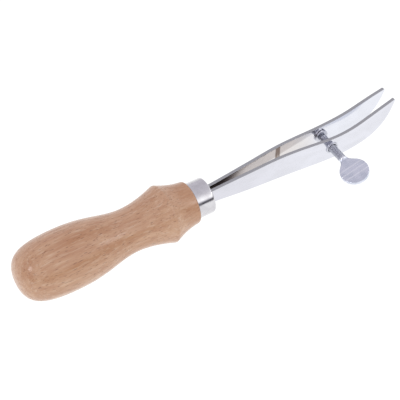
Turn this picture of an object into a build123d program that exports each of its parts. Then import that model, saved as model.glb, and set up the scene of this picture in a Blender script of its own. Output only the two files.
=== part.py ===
"""Leather edge creaser with two spring blades, a thumb screw and a turned wooden handle.

Units are millimetres. The origin is on the tool's axis, in the plane of the wooden shoulder
that the ferrule stands on. +X runs along the axis towards the blade tips, +Z towards the
hollow backs of the blades, and -Y towards the head of the thumb screw. Seen by someone who
pushes the tool forwards, the blade on the +Y side is the left one.

The two blades are mirror images. Each is one strip of spring steel on the real tool. Here it
is two solids, a tang fixed in the handle and a blade that swings about the ferrule's mouth,
because the strip bends there as the screw opens and closes the gap.
"""
from build123d import *
import os

# Handle, a turned solid about the X axis. Points are (x, radius), and each curve between two
# of them has a handle at each end that says how far it keeps to the direction it has there.
BUTT = (-88.0, 0.0)
BUTT_FULLNESS = 11.3
BELLY = (-64.0, 14.6)
BELLY_TO_BUTT = 18.0
BELLY_TO_WAIST = 16.0
WAIST = (-32.0, 10.42)
WAIST_TO_BELLY = 10.0
WAIST_TO_RIDGE = 7.0
RIDGE = (-13.8, 14.1)
RIDGE_LEAD = (-17.5, 12.8)
RIDGE_ROUND = 1.1
FLUTE = (-7.0, 11.5)
SHOULDER_RADIUS = 10.3
SHOULDER_ROUND = 0.7
TENON_RADIUS = 7.7
SEAT_GAP = 0.05

# Ferrule, a drawn cap with a slot in its end. Its bore leaves a glue gap round the tenon.
FERRULE_RADIUS = 8.75
FERRULE_LENGTH = 8.85
FERRULE_END = 0.9
FERRULE_ROUND = 0.8
MOUTH_HALF_WIDTH = 2.75
MOUTH_HALF_HEIGHT = 4.7
MOUTH_ROUND = 0.8

# Blades: the strip, its plan curve and its side outline.
BLADE_THICKNESS = 1.6
ROOT_X = 8.55
SPLIT_GAP = 0.1
ROOT_OFFSET = 1.55
BLADE_PLAN = [(ROOT_X, ROOT_OFFSET), (30, 2.38), (40, 2.85), (52, 3.5), (68, 4.38), (81, 4.92)]
BLADE_PLAN += [(94, 4.72), (105, 4.42), (116, 3.95)]
BLADE_BACK = [(ROOT_X, 3.45), (24, 4.75), (35, 5.75), (46, 6.75), (60, 6.57), (76, 5.65), (89, 6.8)]
BLADE_BACK += [(101, 10.25), (110.9, 13.1)]
BLADE_BELLY = [(ROOT_X, -4.0), (28, -5.8), (52, -6.6), (76, -7.5), (89, -6.8), (99, -4.4), (105.6, 0.1)]
BLADE_BELLY += [(109.7, 6.0), (111.9, 11.9)]

# Tangs inside the handle, with the spacer between them and the rivets through them.
TANG_END_X = -38.0
TANG_END_HALF_HEIGHT = 2.2
SLOT_CLEARANCE = 0.05
SPACER_INSET = 0.4
SPACER_END_X = 7.4
RIVET_RADIUS = 1.5
RIVET_XS = (-28.0, -8.0)

# Thumb screw, which turns in the left blade and is threaded through the right one.
SCREW_X = 75.7
THREAD_RADIUS = 2.0
SHOULDER_Y = 2.8
RELIEF_RADIUS = 1.5
RELIEF_SPAN = (1.7, 2.5)
NECK_Y = -14.8
JOURNAL_RADIUS = 1.35
JOURNAL_HOLE_RADIUS = 1.55
PEEN_RADIUS = 2.1
PEEN_HEIGHT = 0.9
PEEN_ROUND = 0.54
HEAD_RADIUS = 7.0
HEAD_Y = -23.7
HEAD_THICKNESS = 2.0
HEAD_CHAMFER = 0.25
HEAD_TURN = 14.0
NECK_HALF_WIDTH = 4.3
NECK_FOOT_Y = -18.2
GROOVE_PITCH = 1.3
GROOVE_DEPTH = 0.15
GROOVE_COUNT = 7
GROOVE_FIRST_Y = -19.65

# Washers on both sides of the left blade, and the threaded bush in the right one.
WASHER_RADIUS = 3.4
WASHER_BORE = 1.45
INNER_WASHER = (2.85, 3.75)
OUTER_WASHER = (5.8, 6.45)
BUSH_RADIUS = 2.8
BUSH_BORE = 2.28
BUSH_FLANGE_RADIUS = 3.2
BUSH_SPAN = (-6.0, -3.0)
BUSH_FLANGE_INNER_Y = -5.1

# A cutter runs past its piece by the overrun, and a sweep is wider than any blade. An edge is
# known by where its centre is, within the tolerance, and the handle's rims are its long edges.
OVERRUN = 1.0
SWEEP = 40.0
TOLERANCE = 0.01
LONG_EDGE = 60.0


def along_y(radius, y_from, y_to):
    """A cylinder on the screw's axis between two heights."""
    disc = Plane(origin=(SCREW_X, y_from, 0), z_dir=(0, 1, 0)) * Circle(radius)
    return extrude(disc, amount=y_to - y_from)


def ring_along_y(outer, bore, y_from, y_to):
    """A washer on the screw's axis."""
    return along_y(outer, y_from, y_to) - along_y(bore, y_from - OVERRUN, y_to + OVERRUN)


def plate(points, half_thickness):
    """A flat plate with this (x, z) outline, centred on the XZ plane."""
    outline = make_face(Polyline(*[(x, 0, z) for x, z in points], close=True))
    return extrude(outline, amount=half_thickness, dir=(0, 1, 0), both=True)


def make_tang_slot():
    """The tapered slot in the handle that both tangs fill."""
    half_width = ROOT_OFFSET + BLADE_THICKNESS / 2 + SLOT_CLEARANCE
    grow = SLOT_CLEARANCE
    outline = [
        (ROOT_X, BLADE_BACK[0][1] + grow),
        (ROOT_X, BLADE_BELLY[0][1] - grow),
        (TANG_END_X - grow, -TANG_END_HALF_HEIGHT - grow),
        (TANG_END_X - grow, TANG_END_HALF_HEIGHT + grow),
    ]
    return plate(outline, half_width)


def make_handle():
    """The turned wooden handle, with its tenon and the slot for the tangs."""
    butt = Bezier(BUTT, (BUTT[0], BUTT_FULLNESS), (BELLY[0] - BELLY_TO_BUTT, BELLY[1]), BELLY)
    after_belly = (BELLY[0] + BELLY_TO_WAIST, BELLY[1])
    before_waist = (WAIST[0] - WAIST_TO_BELLY, WAIST[1])
    belly = Bezier(BELLY, after_belly, before_waist, WAIST)
    neck = Bezier(WAIST, (WAIST[0] + WAIST_TO_RIDGE, WAIST[1]), RIDGE_LEAD, RIDGE)
    flute = ThreePointArc(RIDGE, FLUTE, (0, SHOULDER_RADIUS))
    tenon_x = FERRULE_LENGTH - FERRULE_END - SEAT_GAP
    tenon = Polyline((0, SHOULDER_RADIUS), (0, TENON_RADIUS), (tenon_x, TENON_RADIUS), (tenon_x, 0), BUTT)
    turned = revolve(make_face(butt + belly + neck + flute + tenon), Axis.X)
    for x, radius in ((RIDGE[0], RIDGE_ROUND), (0, SHOULDER_ROUND)):
        rims = turned.edges().filter_by(lambda e: abs(e.center().X - x) < TOLERANCE and e.length > LONG_EDGE)
        turned = fillet(rims, radius)
    return turned - make_tang_slot()


def make_ferrule():
    """The drawn metal cap on the tenon, with the slot that the blades come out of."""
    wall = Plane.YZ * Circle(FERRULE_RADIUS)
    cap = extrude(wall, amount=FERRULE_LENGTH)
    front = cap.edges().filter_by(lambda e: abs(e.center().X - FERRULE_LENGTH) < TOLERANCE)
    cap = fillet(front, FERRULE_ROUND)
    cap -= extrude(Plane.YZ * Circle(TENON_RADIUS + SEAT_GAP), amount=FERRULE_LENGTH - FERRULE_END)
    mouth = Plane.YZ * RectangleRounded(2 * MOUTH_HALF_WIDTH, 2 * MOUTH_HALF_HEIGHT, MOUTH_ROUND)
    return cap - extrude(mouth, amount=FERRULE_LENGTH + OVERRUN)


def make_tang(side):
    """The part of one strip that is fixed in the handle. Side is 1 for left and -1 for right."""
    outline = [
        (ROOT_X - SPLIT_GAP, BLADE_BACK[0][1]),
        (ROOT_X - SPLIT_GAP, BLADE_BELLY[0][1]),
        (TANG_END_X, -TANG_END_HALF_HEIGHT),
        (TANG_END_X, TANG_END_HALF_HEIGHT),
    ]
    tang = Pos(0, side * ROOT_OFFSET, 0) * plate(outline, BLADE_THICKNESS / 2)
    for pin in rivet_pins():
        tang -= pin
    return tang


def make_spacer():
    """The shim that keeps the two tangs apart."""
    inset = SPACER_INSET
    outline = [
        (SPACER_END_X, BLADE_BACK[0][1] - inset),
        (SPACER_END_X, BLADE_BELLY[0][1] + inset),
        (TANG_END_X + inset, -TANG_END_HALF_HEIGHT + inset),
        (TANG_END_X + inset, TANG_END_HALF_HEIGHT - inset),
    ]
    spacer = plate(outline, ROOT_OFFSET - BLADE_THICKNESS / 2)
    for pin in rivet_pins():
        spacer -= pin
    return spacer


def rivet_pins():
    """The flush rivets through both tangs and the spacer."""
    half_length = ROOT_OFFSET + BLADE_THICKNESS / 2
    pins = []
    for x in RIVET_XS:
        end = Plane(origin=(x, -half_length, 0), z_dir=(0, 1, 0)) * Circle(RIVET_RADIUS)
        pins.append(extrude(end, amount=2 * half_length))
    return pins


def make_blade(side):
    """One blade from the ferrule's mouth to its tip: its side outline cut out of the bent strip."""
    half = BLADE_THICKNESS / 2
    inner = Spline(*[(x, side * (y - half)) for x, y in BLADE_PLAN])
    outer = Spline(*[(x, side * (y + half)) for x, y in BLADE_PLAN])
    ends = Line(inner @ 0, outer @ 0) + Line(inner @ 1, outer @ 1)
    strip = extrude(make_face(inner + outer + ends), amount=SWEEP, both=True)

    back = Spline(*[(x, 0, z) for x, z in BLADE_BACK])
    belly = Spline(*[(x, 0, z) for x, z in BLADE_BELLY])
    nose = TangentArc((back @ 1), (belly @ 1), tangent=(back % 1))
    root = Line(back @ 0, belly @ 0)
    outline = extrude(make_face(back + nose + belly + root), amount=SWEEP, dir=(0, 1, 0), both=True)
    return strip & outline


def make_left_blade():
    """The blade that carries the screw's far end."""
    return make_blade(1) - along_y(JOURNAL_HOLE_RADIUS, 0, SWEEP)


def make_right_blade():
    """The blade that the screw is threaded through."""
    return make_blade(-1) - along_y(BUSH_RADIUS, -SWEEP, 0)


def make_bush(right_blade):
    """The threaded bush that is pressed into the right blade, with its flange outside."""
    sleeve = ring_along_y(BUSH_RADIUS, BUSH_BORE, *BUSH_SPAN)
    flange = ring_along_y(BUSH_FLANGE_RADIUS, BUSH_BORE, BUSH_SPAN[0], BUSH_FLANGE_INNER_Y)
    return sleeve + (flange - right_blade)


def make_head():
    """The round thumb plate and its neck, upright in the XY plane before it is turned."""
    plate_face = Pos(SCREW_X, HEAD_Y) * Circle(HEAD_RADIUS)
    disc = extrude(plate_face, amount=HEAD_THICKNESS / 2, both=True)
    disc = chamfer(disc.edges(), HEAD_CHAMFER)
    round_end = Plane(origin=(SCREW_X, NECK_Y, 0), z_dir=(0, -1, 0)) * Circle(THREAD_RADIUS)
    flat_end = Plane(origin=(SCREW_X, NECK_FOOT_Y, 0), z_dir=(0, -1, 0), x_dir=(1, 0, 0))
    flat_end = flat_end * Ellipse(NECK_HALF_WIDTH, HEAD_THICKNESS / 2)
    head = disc + loft([round_end.face(), flat_end.face()])
    cutter = Rot(X=45) * Box(4 * HEAD_RADIUS, 2 * GROOVE_DEPTH, 2 * GROOVE_DEPTH)
    for number in range(GROOVE_COUNT):
        y = GROOVE_FIRST_Y - number * GROOVE_PITCH
        for face in (1, -1):
            head -= Pos(SCREW_X, y, face * HEAD_THICKNESS / 2) * cutter
    return head


def make_thumb_screw():
    """The screw: thumb plate, thread, journal through the left blade, and riveted end."""
    turned_head = Pos(SCREW_X, 0, 0) * Rot(Y=-HEAD_TURN) * Pos(-SCREW_X, 0, 0) * make_head()
    thread = along_y(THREAD_RADIUS, NECK_Y, SHOULDER_Y)
    thread -= ring_along_y(THREAD_RADIUS + OVERRUN, RELIEF_RADIUS, *RELIEF_SPAN)
    peen_foot = OUTER_WASHER[1] + SEAT_GAP
    journal = along_y(JOURNAL_RADIUS, SHOULDER_Y, peen_foot)
    peen = along_y(PEEN_RADIUS, peen_foot, peen_foot + PEEN_HEIGHT)
    top = peen.edges().filter_by(lambda e: e.center().Y > peen_foot + PEEN_HEIGHT - TOLERANCE)
    peen = fillet(top, PEEN_ROUND)
    return turned_head + thread + journal + peen


def main():
    """Builds every sub-part and writes one STEP file for each."""
    right_blade = make_right_blade()
    nodes = {
        "handle": make_handle(),
        "ferrule": make_ferrule(),
        "left_blade_tang": make_tang(1),
        "right_blade_tang": make_tang(-1),
        "tang_spacer": make_spacer(),
        "tang_rivets": Compound(children=[pin.solid() for pin in rivet_pins()]),
        "left_blade": make_left_blade(),
        "right_blade": right_blade,
        "threaded_bush": make_bush(right_blade),
        "swivel_washer_inner": ring_along_y(WASHER_RADIUS, WASHER_BORE, *INNER_WASHER),
        "swivel_washer_outer": ring_along_y(WASHER_RADIUS, WASHER_BORE, *OUTER_WASHER),
        "thumb_screw": make_thumb_screw(),
    }
    os.makedirs("parts", exist_ok=True)
    for name, shape in nodes.items():
        export_step(shape, f"parts/{name}.step")
        print(f"{name:22s} {len(shape.solids())} solid(s), {shape.volume:10.1f} mm3")


main()
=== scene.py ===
import logging
import math
from collections.abc import Sequence
from dataclasses import dataclass
from enum import Enum

import bpy
import numpy as np
from mathutils import Matrix, Vector


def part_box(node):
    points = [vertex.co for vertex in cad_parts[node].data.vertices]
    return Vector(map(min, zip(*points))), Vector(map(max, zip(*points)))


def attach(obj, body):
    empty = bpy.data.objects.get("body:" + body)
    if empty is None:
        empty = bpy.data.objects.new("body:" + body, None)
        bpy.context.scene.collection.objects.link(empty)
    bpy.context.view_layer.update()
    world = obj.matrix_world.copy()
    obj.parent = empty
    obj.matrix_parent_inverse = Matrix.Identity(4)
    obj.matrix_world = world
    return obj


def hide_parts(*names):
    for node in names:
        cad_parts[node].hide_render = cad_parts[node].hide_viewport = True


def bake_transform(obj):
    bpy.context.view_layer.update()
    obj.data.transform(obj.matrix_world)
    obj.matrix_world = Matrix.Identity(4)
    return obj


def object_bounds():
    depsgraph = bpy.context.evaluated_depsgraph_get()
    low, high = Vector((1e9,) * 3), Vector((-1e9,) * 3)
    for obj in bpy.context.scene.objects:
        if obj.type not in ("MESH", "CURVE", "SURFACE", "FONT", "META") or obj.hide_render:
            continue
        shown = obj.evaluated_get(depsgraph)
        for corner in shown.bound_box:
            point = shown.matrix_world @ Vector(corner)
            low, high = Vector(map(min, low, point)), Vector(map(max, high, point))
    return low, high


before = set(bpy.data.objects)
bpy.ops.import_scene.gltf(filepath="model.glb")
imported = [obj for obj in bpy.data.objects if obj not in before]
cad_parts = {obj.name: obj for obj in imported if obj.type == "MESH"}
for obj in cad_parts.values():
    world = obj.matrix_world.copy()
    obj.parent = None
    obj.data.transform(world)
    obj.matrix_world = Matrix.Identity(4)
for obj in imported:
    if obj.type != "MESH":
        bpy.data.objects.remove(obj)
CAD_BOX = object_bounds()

# A leather edge creaser: two upswept spring-steel blades in a turned beech handle, with a thumb
# screw that sets their gap. Sizes are in millimetres and become metres as each mesh is made.
MM = 0.001
TAU = 2.0 * math.pi
Point = tuple[float, float]
Span = tuple[float, float]
Outline = tuple[Point, ...]
Colour = tuple[float, float, float, float]
log = logging.getLogger("edge_creaser")


class Side(Enum):
    """The two blades, by the sign of the Y direction that each stands on."""

    LEFT = 1
    RIGHT = -1

    @property
    def word(self) -> str:
        """The side's name as the CAD nodes and bodies spell it."""
        return self.name.lower()


def node_box(node: str) -> tuple[np.ndarray, np.ndarray]:
    """Lowest and highest corner of a CAD node.

    Args:
        node: the node's name.

    Returns:
        Both corners in millimetres.
    """
    low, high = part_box(node)
    return np.array(low) / MM, np.array(high) / MM


def screw_axis() -> tuple[float, float, float]:
    """A point on the thumb screw's axis, from the washer that turns with it."""
    low, high = node_box("swivel_washer_inner")
    return (float(low[0] + high[0]) / 2, 0.0, 0.0)


# Curves and surfaces


def bezier(points: Sequence[Point], count: int) -> np.ndarray:
    """A cubic Bezier curve: the four points weighted by the Bernstein polynomials of t.

    Args:
        points: its start, two control points and end.
        count: how many points to return.

    Returns:
        An array of shape (count, 2).
    """
    t = np.linspace(0.0, 1.0, count)[:, None]
    a, b, c, d = (np.array(p) for p in points)
    return (1 - t) ** 3 * a + 3 * t * (1 - t) ** 2 * b + 3 * t**2 * (1 - t) * c + t**3 * d


def natural_spline(points: Sequence[Point], at: np.ndarray) -> np.ndarray:
    """The natural cubic spline y(x) through points whose x rises.

    Its second derivatives m solve the usual three-term system, with m = 0 at both ends, and each
    stretch is the cubic that has those second derivatives at its ends.

    Args:
        points: the (x, y) points that it goes through.
        at: where it is wanted.

    Returns:
        y at each of those places.
    """
    x, y = np.array(points, float).T
    h = np.diff(x)
    system = np.diag(np.r_[1.0, 2 * (h[:-1] + h[1:]), 1.0])
    inner = np.arange(1, len(x) - 1)
    system[inner, inner - 1], system[inner, inner + 1] = h[:-1], h[1:]
    slope = np.diff(y) / h
    m = np.linalg.solve(system, np.r_[0.0, 6 * np.diff(slope), 0.0])
    k = np.clip(np.searchsorted(x, at) - 1, 0, len(h) - 1)
    left, right = at - x[k], x[k + 1] - at
    cubic = (m[k] * right**3 + m[k + 1] * left**3) / (6 * h[k])
    line = (y[k] / h[k] - m[k] * h[k] / 6) * right, (y[k + 1] / h[k] - m[k + 1] * h[k] / 6) * left
    return cubic + line[0] + line[1]


def spline_path(points: Sequence[Point], count: int) -> np.ndarray:
    """A smooth plane curve: both coordinates are natural splines of the length along the chords.

    Args:
        points: the points that it goes through.
        count: how many points to return, evenly spaced along the chords.

    Returns:
        An array of shape (count, 2).
    """
    p = np.array(points, float)
    length = np.r_[0.0, np.cumsum(np.hypot(*np.diff(p, axis=0).T))]
    at = np.linspace(0.0, length[-1], count)
    return np.stack([natural_spline(list(zip(length, p[:, i])), at) for i in (0, 1)], axis=1)


def even_path(path: np.ndarray, step: float) -> np.ndarray:
    """The same curve with points about one step apart.

    Args:
        path: points of a plane curve, shape (n, 2).
        step: the wanted distance.

    Returns:
        The new points.
    """
    length = np.r_[0.0, np.cumsum(np.hypot(*np.diff(path, axis=0).T))]
    at = np.linspace(0.0, length[-1], max(2, round(length[-1] / step) + 1))
    return np.stack([np.interp(at, length, path[:, i]) for i in (0, 1)], axis=1)


def rounded_corners(path: np.ndarray, step: float, reach: float) -> np.ndarray:
    """Rounds a curve's corners: each point becomes the weighted mean of those within reach of it.

    The weights are a raised cosine, and the two ends stay where they are.

    Args:
        path: points of a plane curve, a step apart.
        step: that distance.
        reach: how far from a corner the rounding begins.

    Returns:
        The rounded curve.
    """
    half = max(1, round(reach / step))
    weight = 1 + np.cos(np.linspace(-math.pi, math.pi, 2 * half + 3)[1:-1])
    padded = np.pad(path, ((half, half), (0, 0)), mode="reflect", reflect_type="odd")
    parts = [np.convolve(padded[:, i], weight / weight.sum(), mode="valid") for i in (0, 1)]
    return np.stack(parts, axis=1)


def smooth_step(low: float, high: float, at: np.ndarray) -> np.ndarray:
    """0 below low, 1 above high, and the cubic 3t^2 - 2t^3 between them."""
    t = np.clip((at - low) / (high - low), 0.0, 1.0)
    return t * t * (3 - 2 * t)


@dataclass
class Skin:
    """A grid of points that becomes a closed mesh.

    The points have the shape (rows, columns, 3), in millimetres. Columns always close into a ring.
    Rows close too on a ring-shaped solid, and otherwise each end is closed by a fan.
    """

    points: np.ndarray
    rows_close: bool = False

    def faces(self) -> tuple[np.ndarray, np.ndarray]:
        """The quads between neighbouring rings, and the triangles of both end fans.

        Returns:
            The vertex numbers of the quads, shape (n, 4), and of the triangles, shape (m, 3).
        """
        rows, columns, _ = self.points.shape
        bands = rows if self.rows_close else rows - 1
        i, j = np.meshgrid(np.arange(bands), np.arange(columns), indexing="ij")
        here, ahead, after = i * columns, (i + 1) % rows * columns, (j + 1) % columns
        quads = np.stack([here + j, here + after, ahead + after, ahead + j], axis=-1).reshape(-1, 4)
        if self.rows_close:
            return quads, np.empty((0, 3), int)
        ring = np.arange(columns)
        after, last = np.roll(ring, -1), (rows - 1) * columns
        middle = np.full(columns, rows * columns)
        first_fan = np.stack([middle, after, ring], axis=1)
        last_fan = np.stack([middle + 1, last + ring, last + after], axis=1)
        return quads, np.vstack([first_fan, last_fan])

    def vertices(self) -> np.ndarray:
        """Every grid point, then the middle of each end ring where the ends are closed by fans.

        Returns:
            An array of shape (vertices, 3).
        """
        flat = self.points.reshape(-1, 3)
        if self.rows_close:
            return flat
        return np.vstack([flat, self.points[0].mean(axis=0), self.points[-1].mean(axis=0)])

    def build(self, name: str, sharp: float = 32.0) -> bpy.types.Object:
        """Makes the mesh, turns it outside out if need be, and shades it smooth.

        The sum of a . (b x c) over the triangles is six times the volume, and it is negative on a
        mesh that is inside out.

        Args:
            name: the new object's name.
            sharp: an edge whose faces turn by more than this many degrees stays sharp.

        Returns:
            The new object, at the origin.
        """
        vertices, (quads, fans) = self.vertices() * MM, self.faces()
        triangles = np.vstack([quads[:, :3], quads[:, [0, 2, 3]], fans])
        a, b, c = (vertices[triangles[:, k]] for k in range(3))
        if np.einsum("ij,ij->", a, np.cross(b, c)) < 0:
            quads, fans = quads[:, ::-1], fans[:, ::-1]
        mesh = bpy.data.meshes.new(name)
        mesh.from_pydata(vertices.tolist(), [], quads.tolist() + fans.tolist())
        mesh.validate()
        piece = bpy.data.objects.new(name, mesh)
        bpy.context.scene.collection.objects.link(piece)
        finish_shading(piece, sharp)
        return piece


def mark(piece: bpy.types.Object, name: str, values: np.ndarray) -> None:
    """Stores a number on each grid point of a skin, with 0 on the middles of its end fans.

    Args:
        piece: the object that the skin became.
        name: the attribute's name.
        values: the numbers, in the order of the skin's points.
    """
    padded = np.zeros(len(piece.data.vertices), np.float32)
    padded[: values.size] = values.ravel()
    piece.data.attributes.new(name, "FLOAT", "POINT").data.foreach_set("value", padded)


def finish_shading(piece: bpy.types.Object, sharp: float) -> None:
    """Shades a mesh smooth except across edges that turn by more than the angle sharp."""
    piece.data.shade_smooth()
    piece.data.set_sharp_from_angle(angle=math.radians(sharp))


class Axis(Enum):
    """The axes that pieces of this tool are turned about."""

    X = "the tool's own axis"
    Y = "the thumb screw's axis"


def circle_angles(count: int) -> np.ndarray:
    """Angles evenly spaced round a circle."""
    return np.linspace(0.0, TAU, count, endpoint=False)


def lathe(
    profile: np.ndarray, axis: Axis, centre: Sequence[float], columns: int, rows_close: bool = False
) -> Skin:
    """Turns a profile about an axis: each (along, radius) point becomes a circle.

    Args:
        profile: the (along, radius) points.
        axis: the direction that the first coordinate runs along.
        centre: a point on the axis, in millimetres.
        columns: how many points each circle has.
        rows_close: whether the profile is a closed loop.

    Returns:
        The turned surface.
    """
    angle = circle_angles(columns)
    along = np.repeat(profile[:, :1], columns, axis=1)
    u, v = profile[:, 1:] * np.cos(angle), profile[:, 1:] * np.sin(angle)
    ordered = [along, u, v] if axis is Axis.X else [u, along, v]
    return Skin(np.stack(ordered, axis=-1) + np.array(centre, float), rows_close)


def cut(piece: bpy.types.Object, cutter: bpy.types.Object, sharp: float = 32.0) -> None:
    """Cuts one closed mesh out of another and deletes the cutter.

    Args:
        piece: the object that is cut.
        cutter: the object that is taken away.
        sharp: an edge whose faces turn by more than this many degrees stays sharp.
    """
    modifier = piece.modifiers.new("cut", "BOOLEAN")
    modifier.operation, modifier.solver, modifier.object = "DIFFERENCE", "EXACT", cutter
    evaluated = piece.evaluated_get(bpy.context.evaluated_depsgraph_get())
    mesh = bpy.data.meshes.new_from_object(evaluated)
    piece.modifiers.clear()
    old, piece.data = piece.data, mesh
    mesh.name = piece.name
    bpy.data.meshes.remove(old)
    bpy.data.objects.remove(cutter)
    finish_shading(piece, sharp)


# Shader maths


class Signal:
    """A shader value. Arithmetic on it adds Math nodes, so masks read as expressions."""

    def __init__(self, bench: "Bench", socket: bpy.types.NodeSocket | None) -> None:
        """Wraps an output socket of a node on that bench."""
        self.bench, self.socket = bench, socket

    def __add__(self, other: "Signal | float") -> "Signal":
        """self + other."""
        return self.bench.math("ADD", self, other)

    def __sub__(self, other: "Signal | float") -> "Signal":
        """self - other."""
        return self.bench.math("SUBTRACT", self, other)

    def __rsub__(self, other: "Signal | float") -> "Signal":
        """other - self."""
        return self.bench.math("SUBTRACT", other, self)

    def __mul__(self, other: "Signal | float") -> "Signal":
        """self * other."""
        return self.bench.math("MULTIPLY", self, other)

    def __truediv__(self, other: "Signal | float") -> "Signal":
        """self / other."""
        return self.bench.math("DIVIDE", self, other)

    __radd__, __rmul__ = __add__, __mul__

    def ramp(self, low: float, high: float, to_low: float = 0.0, to_high: float = 1.0) -> "Signal":
        """Maps low..high smoothly onto to_low..to_high, and holds the ends.

        Args:
            low: the value that gives to_low.
            high: the value that gives to_high.
            to_low: the result at low.
            to_high: the result at high.

        Returns:
            The mapped value.
        """
        values = {"Value": self, "From Min": low, "From Max": high, "To Min": to_low, "To Max": to_high}
        return self.bench.node("ShaderNodeMapRange", {"interpolation_type": "SMOOTHSTEP"}, values)


class Bench:
    """Adds nodes to one node tree."""

    def __init__(self, tree: bpy.types.NodeTree) -> None:
        """Starts on an empty tree."""
        self.tree = tree
        tree.nodes.clear()

    def node(
        self, kind: str, settings: dict | None = None, sockets: dict | None = None, out: int | str = 0
    ) -> Signal:
        """Adds any node.

        Args:
            kind: its type.
            settings: its own settings, which are set first.
            sockets: the value or the signal for each input, by name or number.
            out: the output that is wanted, by name or number.

        Returns:
            That output, which is empty for a node that ends the tree.
        """
        made = self.tree.nodes.new(kind)
        for key, value in (settings or {}).items():
            setattr(made, key, value)
        for key, value in (sockets or {}).items():
            if isinstance(value, Signal):
                self.tree.links.new(value.socket, made.inputs[key])
            else:
                made.inputs[key].default_value = value
        return Signal(self, made.outputs[out] if made.outputs else None)

    def math(self, operation: str, *values: Signal | float) -> Signal:
        """Adds a Math node with these inputs."""
        return self.node("ShaderNodeMath", {"operation": operation}, dict(enumerate(values)))

    def mix(self, factor: Signal | float, a: Signal | Colour, b: Signal | Colour) -> Signal:
        """Mixes two colours: a where the factor is 0, and b where it is 1."""
        return self.node("ShaderNodeMix", {"data_type": "RGBA"}, {0: factor, 6: a, 7: b}, 2)

    def layers(self, base: Signal | Colour, *over: tuple[Signal, Colour]) -> Signal | Colour:
        """Lays colours over a base, one after another, each as far as its mask says."""
        for mask, colour in over:
            base = self.mix(mask, base, colour)
        return base

    def place(self, scale: Sequence[float], offset: Sequence[float] = (0, 0, 0)) -> Signal:
        """Object coordinates in millimetres, moved by offset and then scaled along each axis.

        Args:
            scale: pattern units for each millimetre.
            offset: millimetres.

        Returns:
            The vector.
        """
        position = self.node("ShaderNodeTexCoord", out="Object")
        terms = {0: position, 1: [v * MM for v in offset]}
        moved = self.node("ShaderNodeVectorMath", {"operation": "ADD"}, terms)
        terms = {0: moved, 1: [v / MM for v in scale]}
        return self.node("ShaderNodeVectorMath", {"operation": "MULTIPLY"}, terms)

    def part(self, vector: Signal, axis: int) -> Signal:
        """One component of a vector."""
        return self.node("ShaderNodeSeparateXYZ", None, {0: vector}, axis)

    def marked(self, name: str) -> Signal:
        """The number that mark() stored on the mesh under this name."""
        return self.node("ShaderNodeAttribute", {"attribute_name": name}, out="Fac")

    def noise(self, at: Signal, detail: float = 2.0, distortion: float = 0.0) -> Signal:
        """Noise of scale 1 at a vector, from 0 to 1."""
        sockets = {"Vector": at, "Scale": 1.0, "Detail": detail, "Distortion": distortion}
        return self.node("ShaderNodeTexNoise", None, sockets)

    def bump(self, height: Signal, depth_mm: float) -> Signal:
        """A bumped normal, where a height of 1 stands depth_mm proud."""
        sockets = {"Height": height, "Distance": depth_mm * MM, "Strength": 1.0}
        return self.node("ShaderNodeBump", None, sockets)


def linear(red: int, green: int, blue: int) -> Colour:
    """A display colour of 0 to 255 as the linear colour that shaders take."""
    return (*(((v / 255 + 0.055) / 1.055) ** 2.4 for v in (red, green, blue)), 1.0)


@dataclass(frozen=True)
class Finish:
    """One finish: constants set on the shader, and what varies over the surface."""

    name: str

    def fixed(self) -> dict[str, float]:
        """The shader's constant inputs."""
        return {}

    def varied(self, bench: Bench) -> dict[str, Signal]:
        """The shader's inputs that change over the surface."""
        return {}

    def material(self) -> bpy.types.Material:
        """The finish as a material, made the first time that it is asked for.

        Returns:
            The material.
        """
        known = bpy.data.materials.get(self.name)
        if known:
            return known
        material = bpy.data.materials.new(self.name)
        material.use_nodes = True
        bench = Bench(material.node_tree)
        shader = bench.node("ShaderNodeBsdfPrincipled", None, {**self.fixed(), **self.varied(bench)})
        bench.node("ShaderNodeOutputMaterial", None, {"Surface": shader})
        return material

    def dress(self, piece: bpy.types.Object) -> None:
        """Gives a piece this finish alone."""
        piece.data.materials.clear()
        piece.data.materials.append(self.material())


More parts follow.
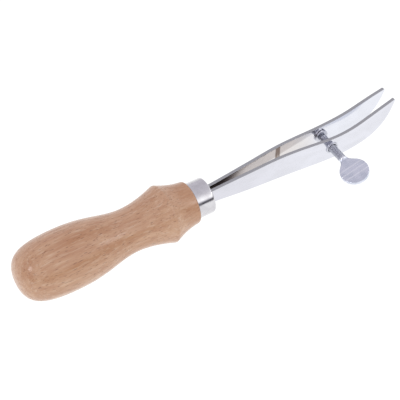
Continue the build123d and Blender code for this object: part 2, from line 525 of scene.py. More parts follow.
@dataclass(frozen=True)
class LacqueredBeech(Finish):
    """Steamed beech, turned along the grain and lacquered."""

    name: str = "lacquered_beech"
    pale: Colour = linear(209, 170, 138)
    tan: Colour = linear(192, 147, 117)
    amber: Colour = linear(179, 127, 89)
    silver: Colour = linear(218, 191, 164)
    fleck: Colour = linear(126, 82, 59)
    # Painted shadow: a dark line on the shoulder's rim where it meets the ferrule.
    shoulder_shadow: Colour = linear(70, 48, 38)
    pith: tuple[float, float, float] = (0.0, 31.0, -24.0)
    ring_gap: float = 2.6
    # Painted shade: the span over which the wood is darkened towards the flute.
    flute_painted_shade: Span = (-11.0, -5.0)
    shoulder_shadow_span: Span = (-0.5, -0.1)

    def fixed(self) -> dict[str, float]:
        """A clear, slightly soft lacquer over the wood."""
        return {"Coat Weight": 0.6, "Coat Roughness": 0.16, "Specular IOR Level": 0.3}

    def varied(self, bench: Bench) -> dict[str, Signal]:
        """Growth rings about a pith outside the handle, drifting tones, ray flecks and fine pores.

        Painted shade deepens the tone over the flute, and a painted shadow darkens the shoulder's rim
        where it meets the ferrule.

        Args:
            bench: the material's bench.

        Returns:
            Base Color, Roughness and Normal.
        """
        drift = bench.noise(bench.place((0.018, 0.09, 0.09)), 3.0)
        tone = bench.noise(bench.place((0.05, 0.55, 0.55), (7, 3, 1)), 3.0, 0.4)
        to_pith = bench.place((0.02, 1.0, 1.0), [-v for v in self.pith])
        radius = bench.node("ShaderNodeVectorMath", {"operation": "LENGTH"}, {0: to_pith}, "Value")
        phase = (radius + drift * 9.0 + tone * 0.7) * (TAU / self.ring_gap)
        rings = bench.math("SINE", phase) * 0.5 + 0.5
        fibres = bench.noise(bench.place((0.16, 3.4, 3.4), (2, 9, 5)), 2.0)
        dashes = bench.noise(bench.place((0.36, 2.3, 2.3), (5, 1, 8)), 1.0)
        flecks = dashes.ramp(0.60, 0.70) * fibres.ramp(0.35, 0.6)
        silver = bench.noise(bench.place((0.11, 1.3, 1.3), (6, 2, 4)), 3.0, 0.5)
        x = bench.part(bench.place((1, 1, 1)), 0)
        colour = bench.layers(
            self.pale,
            (tone.ramp(0.3, 0.72), self.tan),
            (drift.ramp(0.42, 0.72) * 0.75, self.amber),
            (rings * 0.24, self.amber),
            (fibres.ramp(0.45, 0.75) * 0.45, self.amber),
            (silver.ramp(0.5, 0.72) * 0.45, self.silver),
            (flecks * 0.75, self.fleck),
            # Painted shade: the wood darkens towards the flute.
            (x.ramp(*self.flute_painted_shade) * 0.4, self.amber),
            # Painted shadow on the shoulder's rim, next to the ferrule.
            (x.ramp(*self.shoulder_shadow_span) * 0.8, self.shoulder_shadow),
        )
        return {
            "Base Color": colour,
            "Roughness": tone.ramp(0.2, 0.8, 0.36, 0.5),
            "Normal": bench.bump(fibres * 0.5 - flecks, 0.012),
        }


@dataclass(frozen=True)
class PolishedSteel(Finish):
    """Hardened spring steel, buffed to a mirror on its faces and left satin on its edges."""

    name: str = "polished_spring_steel"
    root: Colour = linear(214, 214, 222)
    # Painted reflection: the faces go from the root colour to this lighter one towards the tip.
    tip: Colour = linear(222, 223, 231)
    # Painted reflection: the inner faces are bluer, and warmer near the root.
    inner: Colour = linear(226, 228, 236)
    warm_reflection: Colour = linear(222, 218, 217)
    # Painted shade: the inner faces darken near the root, where the blades shade each other.
    root_shade: Colour = linear(118, 110, 110)
    tarnish: Colour = linear(120, 100, 88)
    edge: Colour = linear(178, 179, 181)
    tip_reflection_span: Span = (10.0, 70.0)
    root_shade_end: Span = (19.0, 34.0)
    warm_reflection_end: Span = (58.0, 84.0)
    tarnish_start: Span = (48.0, 48.8)
    tarnish_end: Span = (50.8, 51.5)

    def fixed(self) -> dict[str, float]:
        """Bare metal."""
        return {"Metallic": 1.0}

    def varied(self, bench: Bench) -> dict[str, Signal]:
        """Buffing smears and faint waves on the faces, and ground edges.

        The faces are painted lighter towards the tip, as a painted reflection. The inner faces have a
        painted reflection that is bluer, and warmer near the root, and painted shade darkens them near
        the root, where the blades shade each other. The left one has a few tarnished streaks beyond it.

        Args:
            bench: the material's bench.

        Returns:
            Base Color, Roughness and Normal.
        """
        edge, inner = bench.marked("edge"), bench.marked("inner")
        x, y = (bench.part(bench.place((1, 1, 1)), axis) for axis in (0, 1))
        smears = bench.noise(bench.place((0.09, 0.3, 0.16)), 3.0, 0.6)
        waves = bench.noise(bench.place((0.045, 0.1, 0.07), (4, 0, 2)), 1.0)
        lines = bench.noise(bench.place((0.7, 0.7, 14.0)), 2.0)
        streaks = bench.noise(bench.place((0.9, 0.5, 0.08), (3, 6, 1)), 2.0)
        stained = x.ramp(*self.tarnish_start) * (1 - x.ramp(*self.tarnish_end)) * streaks.ramp(0.28, 0.46)
        colour = bench.layers(
            self.root,
            # Painted reflection, lighter towards the tip.
            (x.ramp(*self.tip_reflection_span), self.tip),
            # Painted reflection on the inner faces: bluer, then warmer towards the root.
            (inner, self.inner),
            (inner * (1 - x.ramp(*self.warm_reflection_end)), self.warm_reflection),
            (inner * y.ramp(0.0, 1.0) * stained * 0.85, self.tarnish),
            # Painted shade on the inner faces near the root.
            (inner * (1 - x.ramp(*self.root_shade_end)) * 0.95, self.root_shade),
            (smears.ramp(0.35, 0.75) * 0.16, self.edge),
            (edge, self.edge),
        )
        faces = smears.ramp(0.3, 0.75, 0.07, 0.14)
        return {
            "Base Color": colour,
            "Roughness": faces + edge * (lines * 0.2 + 0.16),
            "Normal": bench.bump(waves + lines * 0.003 + smears * 0.02, 0.045),
        }


@dataclass(frozen=True)
class BrightPlate(Finish):
    """Bright plating over drawn or turned metal."""

    name: str = "bright_plate"
    light: Colour = linear(215, 214, 217)
    dark: Colour = linear(204, 202, 206)
    gloss: float = 0.07
    dull: float = 0.17
    dents_mm: float = 0.004

    def fixed(self) -> dict[str, float]:
        """Bare metal."""
        return {"Metallic": 1.0}

    def varied(self, bench: Bench) -> dict[str, Signal]:
        """Slight clouding, and the fine pits and rubs of a handled tool.

        Args:
            bench: the material's bench.

        Returns:
            Base Color, Roughness and Normal.
        """
        clouds = bench.noise(bench.place((0.3, 0.3, 0.3)), 4.0, 0.3)
        pits = bench.noise(bench.place((2.4, 2.4, 2.4), (3, 3, 3)), 3.0)
        colour = bench.mix(clouds.ramp(0.35, 0.7), self.light, self.dark)
        return {
            "Base Color": colour,
            "Roughness": clouds.ramp(0.3, 0.75, self.gloss, self.dull) + pits * 0.05,
            "Normal": bench.bump(pits + clouds, self.dents_mm),
        }


@dataclass(frozen=True)
class ScrewPlate(BrightPlate):
    """Bright plating, rougher and with painted shade in the thread's valleys, and with painted highlights
    by the grooves and on the neck.
    """

    name: str = "screw_plate"
    light: Colour = linear(219, 222, 234)
    dark: Colour = linear(203, 208, 221)
    gloss: float = 0.2
    dull: float = 0.32
    # Painted shade for the thread and its valleys.
    valley_shade: Colour = linear(96, 94, 102)
    # Painted highlight for the grooves' rims and the neck's fillet.
    painted_highlight: Colour = (0.95, 0.96, 1.0, 1.0)

    def varied(self, bench: Bench) -> dict[str, Signal]:
        """The plating, with painted shade and painted highlights where the screw is marked.

        Args:
            bench: the material's bench.

        Returns:
            Base Color, Roughness and Normal.
        """
        inputs, valley_shade, groove = super().varied(bench), bench.marked("valley_shade"), bench.marked("groove")
        # Painted shade in the thread, then painted highlights by the grooves and on the neck.
        colour = bench.layers(inputs["Base Color"], (valley_shade * 0.6, self.valley_shade), (groove, self.painted_highlight))
        return {**inputs, "Base Color": colour, "Roughness": inputs["Roughness"] + valley_shade * 0.25}


@dataclass(frozen=True)
class PaleFloor(Finish):
    """A plain white table top, lit evenly under the tool and less towards its back."""

    name: str = "pale_floor"
    white: Colour = (0.05, 0.05, 0.05, 1.0)
    lit: Colour = (1.08, 1.08, 1.08, 1.0)
    dim: Colour = (0.46, 0.45, 0.47, 1.0)
    lit_to: float = 170.0
    dim_from: float = 420.0

    def fixed(self) -> dict[str, float]:
        """Matt white with light of its own, as a lit table has."""
        matt = {"Base Color": self.white, "Roughness": 1.0, "Specular IOR Level": 0.0}
        return {**matt, "Emission Strength": 1.0}

    def varied(self, bench: Bench) -> dict[str, Signal]:
        """The light fades behind the tool.

        Args:
            bench: the material's bench.

        Returns:
            Emission Color.
        """
        y = bench.part(bench.place((1, 1, 1)), 1)
        return {"Emission Color": bench.mix(y.ramp(self.lit_to, self.dim_from), self.lit, self.dim)}


FERRULE_PLATE = BrightPlate()
SCREW_PLATE = ScrewPlate()
BUSH_PLATE = BrightPlate("bush_plate", linear(214, 215, 222), linear(196, 198, 206), 0.26, 0.38, 0.003)
INNER_STEEL = BrightPlate("inner_steel", linear(160, 160, 164), linear(140, 140, 145), 0.3, 0.5, 0.01)
STEEL = PolishedSteel()
BEECH = LacqueredBeech()


def install(piece: bpy.types.Object, finish: Finish, slot: str, *nodes: str) -> None:
    """Gives a piece its finish, puts it in place of its CAD nodes, and reports it.

    Args:
        piece: the object.
        finish: how it looks.
        slot: the material slot's name, which is not used.
        nodes: the CAD nodes that it replaces.
    """
    finish.dress(piece)
    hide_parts(*nodes)
    log.info("%s: %d faces", piece.name, len(piece.data.polygons))


# The tool's pieces


@dataclass
class TurnedHandle:
    """The wooden handle: three Bezier curves and a flute, turned about the tool's axis.

    The two reaches say how far the curves' control points stand from the belly and the waist, first
    towards the butt and then towards the ferrule.
    """

    belly: Point = (-64.0, 14.6)
    waist: Point = (-32.0, 10.42)
    ridge: Point = (-13.8, 14.17)
    ridge_lead: Point = (-17.5, 12.8)
    butt_fullness: float = 11.3
    belly_reach: Span = (18.0, 16.0)
    waist_reach: Span = (10.0, 7.0)
    flute_depth: float = 0.72
    shoulder_radius: float = 10.3
    tenon_radius: float = 7.7
    rounding: float = 1.1
    step: float = 0.2
    columns: int = 160
    slot_half_width: float = 2.4
    slot_end_half_height: float = 2.3
    slot_play: float = 0.1

    def profile(self) -> np.ndarray:
        """The (x, radius) outline from the butt's pole to the middle of the tenon's end.

        The flute is the straight line from the ridge to the shoulder, sunk by a parabola.

        Returns:
            Points about one step apart, with the corners of the turned part rounded.
        """
        low, high = node_box("handle")
        bx, br = self.belly
        wx, wr = self.waist
        (to_butt, from_belly), (to_waist, from_waist) = self.belly_reach, self.waist_reach
        butt = bezier([(low[0], 0.0), (low[0], self.butt_fullness), (bx - to_butt, br), (bx, br)], 80)
        body = bezier([(bx, br), (bx + from_belly, br), (wx - to_waist, wr), (wx, wr)], 80)
        neck = bezier([(wx, wr), (wx + from_waist, wr), self.ridge_lead, self.ridge], 60)
        t = np.linspace(0, 1, 40)[:, None]
        flute = np.array(self.ridge) * (1 - t) + np.array((0.0, self.shoulder_radius)) * t
        flute[:, 1:] -= 4 * self.flute_depth * t * (1 - t)
        shoulder = np.array([(0.0, self.shoulder_radius), (0.0, self.tenon_radius)])
        turned = np.vstack([butt, body[1:], neck[1:], flute[1:], shoulder[1:]])
        turned = rounded_corners(even_path(turned, self.step), self.step, self.rounding)
        tenon = np.array([(0.0, self.tenon_radius), (high[0], self.tenon_radius), (high[0], 0.5)])
        return np.vstack([turned[1:], even_path(tenon, 0.5)[1:]])

    def slot_cutter(self) -> bpy.types.Object:
        """A tapered wedge where the tangs go, a little past the tenon's end.

        Returns:
            The cutter.
        """
        low, high = node_box("left_blade_tang")
        y, end, play = self.slot_half_width, self.slot_end_half_height, self.slot_play
        ends = [(low[0] - play, -end, end), (high[0] + 1.0, low[2] - play, high[2] + play)]
        rings = [[(x, -y, foot), (x, y, foot), (x, y, top), (x, -y, top)] for x, foot, top in ends]
        return Skin(np.array(rings)).build("slot_cutter")

    def build(self) -> None:
        """Makes the handle with its slot."""
        piece = lathe(self.profile(), Axis.X, (0, 0, 0), self.columns).build("turned_handle", 50.0)
        cut(piece, self.slot_cutter(), 50.0)
        install(piece, BEECH, "handle_wood", "handle")
        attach(piece, "handle")


@dataclass
class DrawnFerrule:
    """The metal cap: a tube with a rounded rim and a flat end that has a slot in it."""

    wall: float = 0.85
    rim: float = 0.8
    mouth_half_width: float = 2.75
    mouth_half_height: float = 4.7
    mouth_power: float = 7.0
    lip: float = 0.22
    back_bevel: float = 0.12
    columns: int = 160

    def rows(self) -> np.ndarray:
        """The rings of one closed loop, from the back edge out, round the rim, in and back.

        Returns:
            (x, circle, mix) for each ring: where it is, the radius of its circle, and how far it
            goes from that circle towards the slot.
        """
        low, high = node_box("ferrule")
        back, length, radius, bevel = low[0], high[0], high[1], self.back_bevel
        front, bore, inner = radius - self.rim, radius - self.wall, length - self.wall
        quarter = np.linspace(0, math.pi / 2, 9)[1:]
        sine, cosine = np.sin(quarter), np.cos(quarter)
        bands = [
            (np.linspace(back + bevel, length - self.rim, 14), radius, 0.0),
            (length - self.rim * (1 - sine), radius - self.rim * (1 - cosine), 0.0),
            (length, front, np.linspace(0.1, 0.93, 8)),
            (length - self.lip * (1 - cosine), front, 0.95 + 0.05 * sine),
            (np.linspace(length - 2 * self.lip, inner, 3), front, 1.0),
            (inner, bore, np.linspace(0.85, 0.0, 6)),
            (np.linspace(inner - 0.3, back + bevel, 12), bore, 0.0),
            (back, np.array([bore + bevel, radius - bevel]), 0.0),
        ]
        return np.hstack([np.stack(np.broadcast_arrays(*band)) for band in bands]).T

    def build(self) -> None:
        """Makes the cap: each ring's radius at each angle lies between its circle and the slot.

        The slot's outline is a superellipse, with a high power that makes it nearly a box.
        """
        x, circle, mix = self.rows().T[:, :, None]
        angle, power = circle_angles(self.columns)[None, :], self.mouth_power
        across = (np.abs(np.cos(angle)) / self.mouth_half_width) ** power
        slot = (across + (np.abs(np.sin(angle)) / self.mouth_half_height) ** power) ** (-1 / power)
        reach = circle * (1 - mix) + slot * mix
        points = np.stack([x + 0 * angle, reach * np.cos(angle), reach * np.sin(angle)], axis=-1)
        piece = Skin(points, True).build("drawn_ferrule", 40.0)
        install(piece, FERRULE_PLATE, "ferrule_plate", "ferrule")
        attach(piece, "handle")


@dataclass
class SpringBlade:
    """One strip of spring steel, from its end inside the handle to its upswept tip.

    Its hole, given by a radius, takes the screw's journal or the threaded bush.
    """

    side: Side
    hole: float
    thickness: float = 1.6
    corner: float = 0.14
    plan: Outline = (
        (30, 2.38), (40, 2.85), (52, 3.5), (68, 4.38), (81, 4.92), (94, 4.72), (105, 4.42), (116, 3.95)
    )
    back: Outline = (
        (24, 4.75), (35, 5.75), (46, 6.75), (60, 6.57), (76, 5.65), (89, 6.8), (101, 10.25), (110.9, 13.1)
    )
    belly: Outline = (
        (28, -5.8), (52, -6.6), (76, -7.5), (89, -6.8), (99, -4.4), (105.6, 0.1), (109.7, 6), (111.9, 11.9)
    )
    tang_end_half_height: float = 2.2
    stations: int = 190
    face_points: int = 26
    bend_length: float = 40.0

    def tang_box(self) -> tuple[np.ndarray, np.ndarray]:
        """Lowest and highest corner of the strip's part inside the handle."""
        return node_box(f"{self.side.word}_blade_tang")

    def middle(self, x: np.ndarray) -> np.ndarray:
        """The strip's middle, seen from above: straight in the handle, then bowed.

        Args:
            x: where it is wanted.

        Returns:
            How far it stands from the tool's axis at each of those places.
        """
        low, high = self.tang_box()
        offset = abs(low[1] + high[1]) / 2
        tang = [(low[0], offset), (low[0] / 2, offset), (high[0], offset)]
        return natural_spline([*tang, *self.plan], x)

    def outlines(self) -> tuple[np.ndarray, np.ndarray]:
        """Both edges of the strip, seen from the side.

        Returns:
            The back and the belly edge as (x, z) curves with matching points from root to tip.
        """
        low, high = self.tang_box()
        end = self.tang_end_half_height
        back = [(low[0], end), (low[0] / 2, (end + high[2]) / 2), (high[0], high[2])]
        belly = [(low[0], -end), (low[0] / 2, (low[2] - end) / 2), (high[0], low[2])]
        edges = [*back, *self.back], [*belly, *self.belly]
        return spline_path(edges[0], self.stations), spline_path(edges[1], self.stations)

    def ring(self) -> tuple[np.ndarray, np.ndarray, np.ndarray]:
        """One cross-section: a box with rounded corners, as flat edge, face, flat edge, face.

        Returns:
            The place across the strip, from -1 at the belly to 1 at the back, with how far it is
            pulled in from there by the rounding, and the place through the thickness, both in
            millimetres.
        """
        half, r = self.thickness / 2, self.corner
        turn = np.linspace(0, math.pi / 2, 6)
        flat = np.linspace(-1, 1, self.face_points)[1:-1]
        pulled, sunk = r * (1 - np.cos(turn)), half - r * (1 - np.sin(turn))
        across = np.r_[-np.ones(6), flat, np.ones(6)]
        inset = np.r_[pulled, np.full(len(flat), r), pulled[::-1]]
        through = np.r_[sunk, np.full(len(flat), half), sunk[::-1]]
        return np.r_[across, -across], np.r_[inset, inset], np.r_[through, -through]

    def strip(self) -> Skin:
        """The strip's surface: cross-sections on straight lines from belly edge to back edge.

        The line's ends move along both edges together. The tip closes with a half circle: its
        cross-sections shrink as a cosine while they move out as a sine.

        Returns:
            The closed surface.
        """
        back, belly = self.outlines()
        across, inset, through = self.ring()
        turn = np.linspace(0, math.pi / 2, 9)[1:-1]
        nose = np.hypot(*(back[-1] - belly[-1])) / 2
        forward = back[-1] - back[-2] + belly[-1] - belly[-2]
        forward = forward / np.hypot(*forward)
        middle, reach = (back + belly) / 2, (back - belly) / 2
        middle = np.vstack([middle, middle[-1] + np.outer(np.sin(turn) * nose, forward)])
        reach = np.vstack([reach, np.outer(np.cos(turn), reach[-1])])
        half = np.hypot(*reach.T)[:, None]
        thinner = np.r_[np.ones(self.stations), 1 - 0.35 * np.sin(turn) ** 4][:, None]
        share = across[None, :] * np.maximum(1 - inset[None, :] / half, 0.0)
        x = middle[:, :1] + share * reach[:, :1]
        z = middle[:, 1:] + share * reach[:, 1:]
        y = self.side.value * (self.middle(x) + through[None, :] * thinner)
        return Skin(np.stack([x, y, z], axis=-1))

    def mark_faces(self, piece: bpy.types.Object) -> None:
        """Marks the strip's narrow edges, and the face that looks at the other blade.

        Args:
            piece: the strip.
        """
        across, inset, through = self.ring()
        rows = (len(piece.data.vertices) - 2) // len(across)
        on_face = inset >= 0.9 * self.corner
        mark(piece, "edge", np.tile(~on_face, rows))
        mark(piece, "inner", np.tile(on_face & (through < 0), rows))

    def drill(self) -> bpy.types.Object:
        """The cutter for the strip's hole.

        Returns:
            A rod from beside the tool's axis to well outside the blade.
        """
        y = np.array([1.0, 12.0]) * self.side.value
        profile = np.stack([y, np.full(2, self.hole)], axis=1)
        return lathe(profile, Axis.Y, screw_axis(), 96).build("drill")

    def build(self) -> None:
        """Makes the strip and drills it for the screw."""
        piece = self.strip().build(f"{self.side.word}_spring_blade", 30.0)
        self.mark_faces(piece)
        cut(piece, self.drill(), 30.0)
        body = f"{self.side.word}_blade"
        install(piece, STEEL, "blade_steel", body, f"{body}_tang")
        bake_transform(piece)


def near_lines(y: np.ndarray, first: float, pitch: float, reach: float, top: float = 1.0) -> np.ndarray:
    """top on each of a row of lines, less 1 for each reach away from it, held between 0 and 1."""
    away = np.abs(((y - first) / pitch + 0.5) % 1.0 - 0.5) * pitch
    return np.clip(top - away / reach, 0, 1)


@dataclass
class ThumbScrew:
    """The screw: a grooved round thumb plate, a flared neck, an M4 thread, a journal and a rivet."""

    pitch: float = 0.7
    thread_depth: float = 0.22
    major: float = 2.0
    relief: Span = (1.7, 2.5)
    relief_radius: float = 1.5
    neck_y: float = -14.6
    foot_y: float = -18.3
    plate_radius: float = 7.0
    plate_y: float = -23.7
    plate_half: float = 1.0
    plate_turn: float = 14.0
    groove_pitch: float = 1.3
    groove_depth: float = 0.1
    groove_half_width: float = 0.16
    groove_from: float = -19.65
    groove_to: float = -29.5
    highlight_half_width: float = 0.4
    highlight_to: float = -28.1
    shoulder_y: float = 2.8
    journal: float = 1.35
    rivet_radius: float = 2.1
    chamfer: float = 0.08
    columns: int = 144

    def angles(self) -> np.ndarray:
        """The angles of each ring's points, as one row."""
        return circle_angles(self.columns)[None, :]

    def groove(self, y: np.ndarray) -> np.ndarray:
        """How deep the V grooves across the plate are at each y, from 0 to 1."""
        grooved = (y < self.groove_from + 0.2) & (y > self.groove_to)
        return near_lines(y, self.groove_from, self.groove_pitch, self.groove_half_width) * grooved

    def painted_highlight(self, y: np.ndarray) -> np.ndarray:
        """Where a highlight is painted on the plating: by every second groove, and on the neck.

        Args:
            y: where it is wanted.

        Returns:
            How much at each of those places, from 0 to 1.
        """
        first, pitch = self.groove_from - self.groove_pitch, 2 * self.groove_pitch
        highlight_lines = near_lines(y, first, pitch, self.highlight_half_width, 1.3)
        highlight_lines = highlight_lines * (y < self.groove_from) * (y > self.highlight_to)
        # Painted highlight on the fillet where the thread meets the flare.
        neck = np.clip(1.2 - np.abs(y - self.neck_y + 0.1) / 0.6, 0, 1)
        return np.maximum(np.maximum(0.2 * self.groove(y), 0.5 * highlight_lines), neck)

    def head_sizes(self, y: np.ndarray) -> tuple[np.ndarray, np.ndarray]:
        """Half the width and half the thickness of the neck and the plate.

        The width flares as a cubic that leaves the thread straight and meets the plate's circle at
        the circle's own slope. The thickness falls smoothly from the thread's to the plate's, is
        less in the grooves, and is rounded at the outer end.

        Args:
            y: where they are wanted.

        Returns:
            Both at each of those places.
        """
        circle = np.sqrt(np.maximum(self.plate_radius**2 - (y - self.plate_y) ** 2, 0.0))
        length, rise = self.neck_y - self.foot_y, self.foot_y - self.plate_y
        t = np.clip((self.neck_y - y) / length, 0, 1)
        foot = math.sqrt(self.plate_radius**2 - rise**2)
        flare = self.major * (2 * t**3 - 3 * t**2 + 1) + foot * (3 * t**2 - 2 * t**3)
        flare = flare + rise / foot * length * (t**3 - t**2)
        thicker = smooth_step(self.neck_y - 1.6, self.neck_y, y)
        thick = self.plate_half + (self.major - self.plate_half) * thicker
        from_end = np.clip((y - self.plate_y + self.plate_radius) / 0.35, 0, 1)
        rounded = 0.35 + 0.65 * np.sqrt(np.clip(1 - (1 - from_end) ** 2, 0, 1))
        grooved = (thick - self.groove_depth * self.groove(y)) * rounded
        return np.where(y > self.foot_y, flare, circle), grooved

    def head_rings(self) -> np.ndarray:
        """The thumb plate and its neck, as rings that go from flat-sided to round.

        Each ring is a superellipse: x is the half width times |cos|^(2/power), with the sign of
        the cosine, and z is the half thickness and the sine in the same way.

        Returns:
            Rings in the screw's own frame, shape (rows, columns, 3).
        """
        end = self.plate_y - self.plate_radius
        near_end = end + 0.9 * (1 - np.cos(np.linspace(0.12, math.pi / 2, 14)))
        y = np.r_[near_end, np.arange(end + 0.96, self.neck_y, 0.06), self.neck_y][:, None]
        power = 7.0 - 5.0 * smooth_step(self.foot_y - 0.5, self.neck_y, y)
        half_width, half_thickness = self.head_sizes(y)
        c, s = np.cos(self.angles()), np.sin(self.angles())
        x = half_width * np.sign(c) * np.abs(c) ** (2 / power)
        z = half_thickness * np.sign(s) * np.abs(s) ** (2 / power)
        return np.stack([x, y + 0 * c, z], axis=-1)

    def thread_rings(self) -> np.ndarray:
        """The thread: a radius that falls and rises as a triangle of y / pitch plus the angle.

        It grows out of the neck and fades out before the shoulder, and turns right-handed.

        Returns:
            Rings in the screw's own frame, shape (rows, columns, 3).
        """
        last, angle = self.relief[0], self.angles()
        y = np.arange(self.neck_y + 0.07, last - 0.05, self.pitch / 8)[:, None]
        turn = (y / self.pitch + angle / TAU) % 1.0
        depth = np.clip(2 * np.abs(turn - 0.5) * 1.3 - 0.12, 0, 1)
        fade = 1 - smooth_step(last - 0.6, last - 0.1, y)
        fade = smooth_step(self.neck_y, self.neck_y + 0.6, y) * fade
        radius = self.major - self.thread_depth * depth * fade
        return np.stack([radius * np.cos(angle), y + 0 * angle, radius * np.sin(angle)], axis=-1)

    def tail_rings(self) -> np.ndarray:
        """The shoulder, the journal through the left blade, and the domed rivet head.

        Returns:
            Rings in the screw's own frame, shape (rows, columns, 3).
        """
        seat, end = node_box("swivel_washer_outer")[1][1] + 0.05, node_box("thumb_screw")[1][1]
        start, stop = self.relief
        waist, thread, chamfer = self.relief_radius, self.major, self.chamfer
        shoulder, journal, head = self.shoulder_y, self.journal, self.rivet_radius
        profile = [(start, thread - chamfer), (start + chamfer, waist + chamfer)]
        profile += [(start + 2 * chamfer, waist), (stop - 0.12, waist), (stop - 0.02, waist + 0.1)]
        profile += [(stop, thread - chamfer), (stop + 0.07, thread)]
        profile += [(shoulder - 0.1, thread), (shoulder, thread - 0.12)]
        profile += [(shoulder + 0.001, journal + 0.05), (shoulder + 0.06, journal)]
        profile += [(y, journal) for y in np.linspace(shoulder + 0.5, seat - 0.06, 6)]
        profile += [(seat, journal + 0.05), (seat + 0.001, head - 0.15), (seat + 0.12, head)]
        rim, turn = seat + 0.25, np.linspace(0, math.pi / 2, 10)[:-1]
        profile += [(rim + (end - rim) * math.sin(a), head * math.cos(a) ** 0.7) for a in turn]
        return lathe(np.array(profile), Axis.Y, (0, 0, 0), self.columns).points

    def build(self) -> None:
        """Makes the screw in one piece, with its thumb plate turned about the screw's axis."""
        rings = np.vstack([self.head_rings(), self.thread_rings(), self.tail_rings()])
        turn = math.radians(self.plate_turn)
        c, s = math.cos(turn), math.sin(turn)
        x, y, z = np.moveaxis(rings, -1, 0)
        placed = np.stack([screw_axis()[0] + x * c - z * s, y, x * s + z * c], axis=-1)
        piece = Skin(placed).build("thumb_screw_body", 42.0)
        sunk = np.clip((self.major - np.hypot(x, z)) / self.thread_depth, 0, 1)
        # Painted shade: darker over the whole thread, and darkest in its valleys.
        mark(piece, "valley_shade", (0.4 + 0.6 * sunk) * (y > self.neck_y + 0.3) * (y < self.shoulder_y))
        # Painted highlights by the grooves and on the neck.
        mark(piece, "groove", self.painted_highlight(y))
        install(piece, SCREW_PLATE, "screw_steel", "thumb_screw")
        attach(piece, "thumb_screw")


def bevelled_ring(outer: float, bore: float, start: float, end: float, bevel: float) -> np.ndarray:
    """The section of a flat ring with rounded corners, as a closed loop of (along, radius) points.

    Args:
        outer: its outer radius.
        bore: its inner radius.
        start: where it starts along the axis.
        end: where it ends.
        bevel: the corners' radius.

    Returns:
        The loop.
    """
    turn = np.linspace(0, math.pi / 2, 5)
    loop: list[Point] = []
    corners = [(end, outer, 0.0), (start, outer, 0.5), (start, bore, 1.0), (end, bore, 1.5)]
    for along, radius, quarter in corners:
        in_along = bevel if along == start else -bevel
        in_radius = bevel if radius == bore else -bevel
        c, s = np.cos(turn + quarter * math.pi), np.sin(turn + quarter * math.pi)
        loop += list(zip(along + in_along + bevel * c, radius + in_radius + bevel * s))
    return np.array(loop)


@dataclass
class SwivelWasher:
    """A plain washer that turns with the screw, beside the left blade."""

    node: str
    bore: float
    bevel: float = 0.14

    def build(self) -> None:
        """Makes the washer where its CAD node is."""
        low, high = node_box(self.node)
        section = bevelled_ring((high[0] - low[0]) / 2, self.bore, low[1], high[1], self.bevel)
        name = self.node.replace("swivel_washer", "washer")
        piece = lathe(section, Axis.Y, screw_axis(), 96, True).build(name, 40.0)
        install(piece, BUSH_PLATE, "screw_steel", self.node)
        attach(piece, "thumb_screw")


@dataclass
class ThreadedBush:
    """The flanged bush in the right blade, with the thread that the screw runs in."""

    sleeve: float = 2.8
    bore: float = 2.28
    flange: float = 3.2
    flange_height: float = 0.6
    bevel: float = 0.12

    def section(self) -> np.ndarray:
        """The bush's section as a closed loop of (y, radius).

        Returns:
            The loop, from the bore's inner end out over the flange and back through the bore.
        """
        low, high = node_box("threaded_bush")
        outer, inner, seat = low[1], high[1], low[1] + self.flange_height
        b, soft = self.bevel, 0.3 * self.bevel
        sleeve, flange, bore = self.sleeve, self.flange, self.bore
        return np.array([
            (inner - b, sleeve), (seat, sleeve), (seat, flange - b), (seat - soft, flange - soft),
            (seat - b, flange), (outer + b, flange), (outer + soft, flange - soft), (outer, flange - b),
            (outer, bore + 2 * b), (outer + 2 * b, bore), ((outer + inner) / 2, bore),
            (inner - 2 * b, bore), (inner, bore + 1.2 * b), (inner, sleeve - b),
        ])

    def build(self) -> None:
        """Makes the bush where its CAD node is."""
        piece = lathe(self.section(), Axis.Y, screw_axis(), 96, True).build("flanged_bush", 25.0)
        install(piece, BUSH_PLATE, "screw_steel", "threaded_bush")
        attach(piece, "right_blade")


# The studio


@dataclass(frozen=True)
class Lamp:
    """A square soft lamp, at a distance along its direction and facing the tool."""

    direction: tuple[float, float, float]
    distance: float
    size: float
    watts: float

    def build(self, name: str) -> None:
        """Makes the lamp.

        Args:
            name: the new light's name.
        """
        data = bpy.data.lights.new(name, "AREA")
        data.shape, data.size, data.energy = "SQUARE", self.size * MM, self.watts
        lamp = bpy.data.objects.new(name, data)
        bpy.context.scene.collection.objects.link(lamp)
        away = Vector(self.direction).normalized()
        lamp.location = away * self.distance * MM
        lamp.rotation_euler = away.to_track_quat("Z", "Y").to_euler()


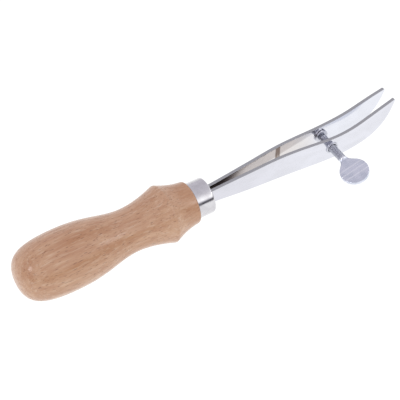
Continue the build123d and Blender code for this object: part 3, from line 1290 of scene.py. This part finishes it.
@dataclass
class Studio:
    """A white table in a light tent, two soft lamps and a long lens."""

    azimuth: float = -31.29
    elevation: float = 48.91
    distance: float = 536.0
    target: tuple[float, float, float] = (4.0, 0.0, 0.0)
    aside: float = 1.12
    above: float = -0.58
    lens: float = 105.0
    floor_size: float = 6000.0
    overhead: Colour = (0.72, 0.70, 0.76, 1.0)
    panel: Colour = (1.6, 1.6, 1.6, 1.0)
    dark: Colour = (0.08, 0.08, 0.09, 1.0)
    low: Colour = (1.08, 1.08, 1.08, 1.0)
    lamps: tuple[Lamp, ...] = (
        Lamp((0.592, -0.561, 0.58), 780.0, 150.0, 0.2),
        Lamp((-0.725, -0.1, 0.683), 952.0, 210.0, 1.1),
    )

    def camera(self) -> None:
        """Looks at the target from the side and above, moved a little across the view."""
        a, e = math.radians(self.azimuth), math.radians(self.elevation)
        back = Vector((math.sin(a) * math.cos(e), -math.cos(a) * math.cos(e), math.sin(e)))
        right = Vector((math.cos(a), math.sin(a), 0.0))
        up = back.cross(right)
        place = Vector(self.target) + back * self.distance + right * self.aside + up * self.above
        data = bpy.data.cameras.new("camera")
        data.lens, data.clip_start, data.clip_end = self.lens, 0.01, 50.0
        camera = bpy.data.objects.new("camera", data)
        bpy.context.scene.collection.objects.link(camera)
        turn = Matrix((right, up, back)).transposed().to_4x4()
        camera.matrix_world = Matrix.Translation(place * MM) @ turn
        bpy.context.scene.camera = camera

    def floor(self) -> None:
        """A flat white floor just under the tool's lowest point."""
        half = self.floor_size / 2 * MM
        z = CAD_BOX[0][2] - 0.05 * MM
        mesh = bpy.data.meshes.new("floor")
        corners = [(-half, -half, z), (half, -half, z), (half, half, z), (-half, half, z)]
        mesh.from_pydata(corners, [], [(0, 1, 2, 3)])
        floor = bpy.data.objects.new("floor", mesh)
        bpy.context.scene.collection.objects.link(floor)
        PaleFloor().dress(floor)

    def tent(self) -> None:
        """A pale surround: bright in front, greyer overhead and behind, with one dark line in front."""
        world = bpy.data.worlds.new("tent")
        bpy.context.scene.world = world
        world.use_nodes = True
        bench = Bench(world.node_tree)
        direction = bench.node("ShaderNodeTexCoord", out="Generated")
        dx, dy, dz = (bench.part(direction, axis) for axis in range(3))
        level = bench.math("SQRT", 1.0001 - dz * dz)
        towards = (dx * 0.77 - dy * 0.64) / level
        front = (dx * 0.2 - dy * 0.9).ramp(0.0, 0.35)
        panel = towards.ramp(0.6, 0.97) * dz.ramp(0.36, 0.49) * (1 - dz.ramp(0.5, 0.97))
        line = front * dz.ramp(0.03, 0.17) * (1 - dz.ramp(0.27, 0.39))
        shades = (panel, self.panel), (line * 0.95, self.dark), (1 - dz.ramp(0.03, 0.13), self.low)
        colour = bench.layers(self.overhead, *shades)
        shine = bench.node("ShaderNodeBackground", None, {"Color": colour, "Strength": 1.0})
        bench.node("ShaderNodeOutputWorld", None, {"Surface": shine})

    def build(self) -> None:
        """Sets up the camera, floor, surround and lamps."""
        self.camera()
        self.floor()
        self.tent()
        for number, lamp in enumerate(self.lamps):
            lamp.build(f"lamp_{number}")
        bpy.context.scene.view_settings.view_transform = "Standard"


def dress_hidden_core() -> None:
    """Finishes the spacer and the rivets inside the handle, whose CAD shapes stay."""
    for name in ("tang_spacer", "tang_rivets"):
        INNER_STEEL.dress(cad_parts[name])
        log.info("%s: CAD shape, plain steel", name)


def main() -> None:
    """Builds the studio and then every piece of the tool."""
    logging.basicConfig(level=logging.INFO, format="%(name)s %(message)s")
    screw, bush = ThumbScrew(), ThreadedBush()
    Studio().build()
    TurnedHandle().build()
    DrawnFerrule().build()
    SpringBlade(Side.LEFT, screw.journal + 0.15).build()
    SpringBlade(Side.RIGHT, bush.sleeve).build()
    screw.build()
    for node in ("swivel_washer_inner", "swivel_washer_outer"):
        SwivelWasher(node, screw.journal + 0.1).build()
    bush.build()
    dress_hidden_core()


if __name__ == "__main__":
    main()
